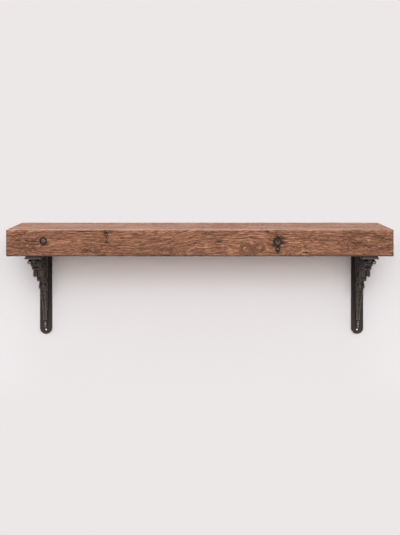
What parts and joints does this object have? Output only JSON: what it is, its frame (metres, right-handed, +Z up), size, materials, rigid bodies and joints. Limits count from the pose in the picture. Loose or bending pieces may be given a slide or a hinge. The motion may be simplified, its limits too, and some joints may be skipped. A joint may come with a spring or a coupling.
{
  "type": "bracketed shelf",
  "caption": "Thick reclaimed-look wooden wall shelf on a pair of cast-iron scroll brackets with pierced webs.",
  "frame": {"origin": "centre of the board's back face, on the wall plane", "axes": "+X along the board to the viewer's right, +Y into the wall, so the front faces -Y, +Z up"},
  "size_m": [1, 0.22, 0.312],
  "materials": {
    "board_wood": "satin",
    "bracket_iron": "satin",
    "screw_steel": "satin"
  },
  "bodies": {
    "root": {"shelf_board": "board_wood", "left_bracket": "bracket_iron", "right_bracket": "bracket_iron", "left_front_screw": "screw_steel", "left_rear_screw": "screw_steel", "right_front_screw": "screw_steel", "right_rear_screw": "screw_steel"}
  },
  "joints": []
}
